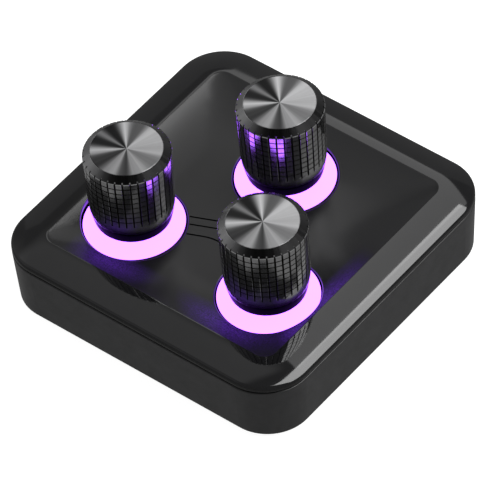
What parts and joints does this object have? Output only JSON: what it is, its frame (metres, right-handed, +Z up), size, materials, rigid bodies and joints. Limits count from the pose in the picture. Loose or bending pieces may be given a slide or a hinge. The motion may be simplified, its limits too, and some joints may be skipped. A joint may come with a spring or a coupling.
{
  "type": "macro keypad with knobs",
  "caption": "Square desk keypad with push knobs that turn without end, lit rings round them in a dished cover, and a cable socket at the back.",
  "frame": {"origin": "centre of the square footprint, on the surface that the feet stand on", "axes": "+Z up; the pair of knobs is at the front, -Y, the single knob and the socket are at the back, +Y"},
  "size_m": [0.068, 0.068, 0.0344],
  "materials": {
    "tray_plastic": "fine satin texture",
    "cover_plastic": "polished",
    "shell_metal": "black anodised, turned",
    "face_metal": "spun",
    "core_plastic": "moulded",
    "ring_diffuser": "milky, lit from below",
    "led_package": "moulded",
    "housing_plastic": "moulded",
    "cast_zinc": "die cast, plated",
    "pin_metal": "tinned",
    "rotor_plastic": "moulded",
    "shaft_metal": "turned",
    "spring_metal": "plain",
    "board_laminate": "solder mask",
    "chip_epoxy": "moulded",
    "can_metal": "plain",
    "tongue_plastic": "moulded",
    "screw_steel": "plated",
    "foot_rubber": "matt"
  },
  "bodies": {
    "case": {"base_tray": "tray_plastic", "top_cover": "cover_plastic", "main_board": "board_laminate", "controller_chip": "chip_epoxy", "crystal": "can_metal", "regulator": "chip_epoxy", "socket_shell": "can_metal", "socket_tongue": "tongue_plastic", "board_screws": "screw_steel", "case_screws": "screw_steel", "foot_front_left": "foot_rubber", "foot_front_right": "foot_rubber", "foot_back_right": "foot_rubber", "foot_back_left": "foot_rubber", "light_ring_left": "ring_diffuser", "ring_leds_left": "led_package", "encoder_housing_left": "housing_plastic", "encoder_frame_left": "cast_zinc", "encoder_pins_left": "pin_metal", "snap_dome_left": "spring_metal", "light_ring_right": "ring_diffuser", "ring_leds_right": "led_package", "encoder_housing_right": "housing_plastic", "encoder_frame_right": "cast_zinc", "encoder_pins_right": "pin_metal", "snap_dome_right": "spring_metal", "light_ring_back": "ring_diffuser", "ring_leds_back": "led_package", "encoder_housing_back": "housing_plastic", "encoder_frame_back": "cast_zinc", "encoder_pins_back": "pin_metal", "snap_dome_back": "spring_metal"},
    "rotor_left": {"encoder_rotor_left": "rotor_plastic"},
    "knob_left": {"encoder_shaft_left": "shaft_metal", "knob_shell_left": "shell_metal", "knob_face_left": "face_metal", "knob_core_left": "core_plastic"},
    "rotor_right": {"encoder_rotor_right": "rotor_plastic"},
    "knob_right": {"encoder_shaft_right": "shaft_metal", "knob_shell_right": "shell_metal", "knob_face_right": "face_metal", "knob_core_right": "core_plastic"},
    "rotor_back": {"encoder_rotor_back": "rotor_plastic"},
    "knob_back": {"encoder_shaft_back": "shaft_metal", "knob_shell_back": "shell_metal", "knob_face_back": "face_metal", "knob_core_back": "core_plastic"}
  },
  "joints": [
    {"name": "knob_left_turn", "type": "hinge", "parent": "case", "child": "rotor_left", "pos_m": [-0.0161, -0.01285, 0.02], "axis": [0, 0, 1], "continuous": true},
    {"name": "knob_left_push", "type": "slide", "parent": "rotor_left", "child": "knob_left", "axis": [0, 0, -1], "range_m": [0, 0.0005], "stiffness_N_per_m": 4000, "springref_m": -0.0005, "deforming": ["snap_dome_left"]},
    {"name": "knob_right_turn", "type": "hinge", "parent": "case", "child": "rotor_right", "pos_m": [0.0161, -0.01285, 0.02], "axis": [0, 0, 1], "continuous": true},
    {"name": "knob_right_push", "type": "slide", "parent": "rotor_right", "child": "knob_right", "axis": [0, 0, -1], "range_m": [0, 0.0005], "stiffness_N_per_m": 4000, "springref_m": -0.0005, "deforming": ["snap_dome_right"]},
    {"name": "knob_back_turn", "type": "hinge", "parent": "case", "child": "rotor_back", "pos_m": [0, 0.01295, 0.02], "axis": [0, 0, 1], "continuous": true},
    {"name": "knob_back_push", "type": "slide", "parent": "rotor_back", "child": "knob_back", "axis": [0, 0, -1], "range_m": [0, 0.0005], "stiffness_N_per_m": 4000, "springref_m": -0.0005, "deforming": ["snap_dome_back"]}
  ]
}
